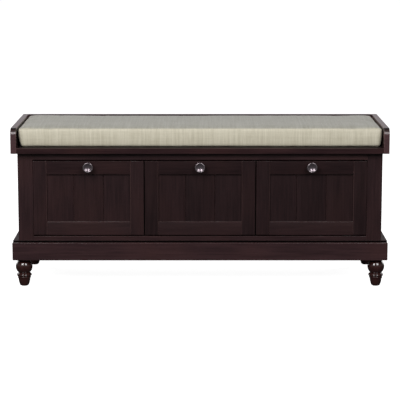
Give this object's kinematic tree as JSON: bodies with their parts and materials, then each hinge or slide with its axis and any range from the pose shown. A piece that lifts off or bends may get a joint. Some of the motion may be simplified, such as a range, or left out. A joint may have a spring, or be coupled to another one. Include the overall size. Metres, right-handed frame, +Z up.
{
  "type": "storage bench",
  "caption": "Low storage bench with panelled pull-out drawers, a plinth on turned feet, and a tray seat that holds a loose cushion.",
  "frame": {"origin": "on the floor, under the middle of the bench's outer box", "axes": "+Z up, +X along the bench's length to the right as seen from the front; the drawers open towards -Y and the back is at +Y"},
  "size_m": [1.2, 0.4, 0.513],
  "materials": {
    "espresso_wood": "dark espresso stain under satin lacquer",
    "turned_wood": "dark espresso stain under semi-gloss lacquer",
    "birch_wood": "clear sealed birch plywood",
    "back_hardboard": "stained hardboard, matt",
    "cushion_fabric": "slubbed linen-look weave",
    "knob_metal": "dark antique bronze, polished",
    "zinc_steel": "bright zinc plate",
    "glide_plastic": "moulded nylon"
  },
  "bodies": {
    "cabinet": {"base_board": "espresso_wood", "plinth_front": "espresso_wood", "plinth_left": "espresso_wood", "plinth_right": "espresso_wood", "plinth_back": "espresso_wood", "corner_blocks": "birch_wood", "foot_front_left": "turned_wood", "foot_front_right": "turned_wood", "foot_back_left": "turned_wood", "foot_back_right": "turned_wood", "foot_bolts": "zinc_steel", "foot_glides": "glide_plastic", "side_panel_left": "espresso_wood", "side_panel_right": "espresso_wood", "stile_left": "espresso_wood", "stile_right": "espresso_wood", "top_rail": "espresso_wood", "bottom_rail": "espresso_wood", "divider_left": "espresso_wood", "divider_right": "espresso_wood", "runner_packers": "birch_wood", "back_panel": "back_hardboard", "top_stretchers": "birch_wood", "seat_screws": "zinc_steel", "fixed_runners": "zinc_steel", "seat_board": "espresso_wood", "arm_left": "espresso_wood", "arm_right": "espresso_wood", "back_rail": "espresso_wood"},
    "cushion": {"cushion": "cushion_fabric"},
    "left_drawer": {"left_front_stiles": "espresso_wood", "left_front_rails": "espresso_wood", "left_front_panel": "espresso_wood", "left_knob": "knob_metal", "left_knob_screw": "zinc_steel", "left_box_sides": "birch_wood", "left_box_front": "birch_wood", "left_box_back": "birch_wood", "left_box_bottom": "birch_wood", "left_runners": "zinc_steel"},
    "middle_drawer": {"middle_front_stiles": "espresso_wood", "middle_front_rails": "espresso_wood", "middle_front_panel": "espresso_wood", "middle_knob": "knob_metal", "middle_knob_screw": "zinc_steel", "middle_box_sides": "birch_wood", "middle_box_front": "birch_wood", "middle_box_back": "birch_wood", "middle_box_bottom": "birch_wood", "middle_runners": "zinc_steel"},
    "right_drawer": {"right_front_stiles": "espresso_wood", "right_front_rails": "espresso_wood", "right_front_panel": "espresso_wood", "right_knob": "knob_metal", "right_knob_screw": "zinc_steel", "right_box_sides": "birch_wood", "right_box_front": "birch_wood", "right_box_back": "birch_wood", "right_box_bottom": "birch_wood", "right_runners": "zinc_steel"}
  },
  "joints": [
    {"name": "left_drawer_slide", "type": "slide", "parent": "cabinet", "child": "left_drawer", "axis": [0, -1, 0], "range_m": [0, 0.24]},
    {"name": "middle_drawer_slide", "type": "slide", "parent": "cabinet", "child": "middle_drawer", "axis": [0, -1, 0], "range_m": [0, 0.24]},
    {"name": "right_drawer_slide", "type": "slide", "parent": "cabinet", "child": "right_drawer", "axis": [0, -1, 0], "range_m": [0, 0.24]},
    {"name": "cushion_lift", "type": "slide", "parent": "cabinet", "child": "cushion", "axis": [0, 0, 1], "range_m": [0, 0.08]}
  ]
}
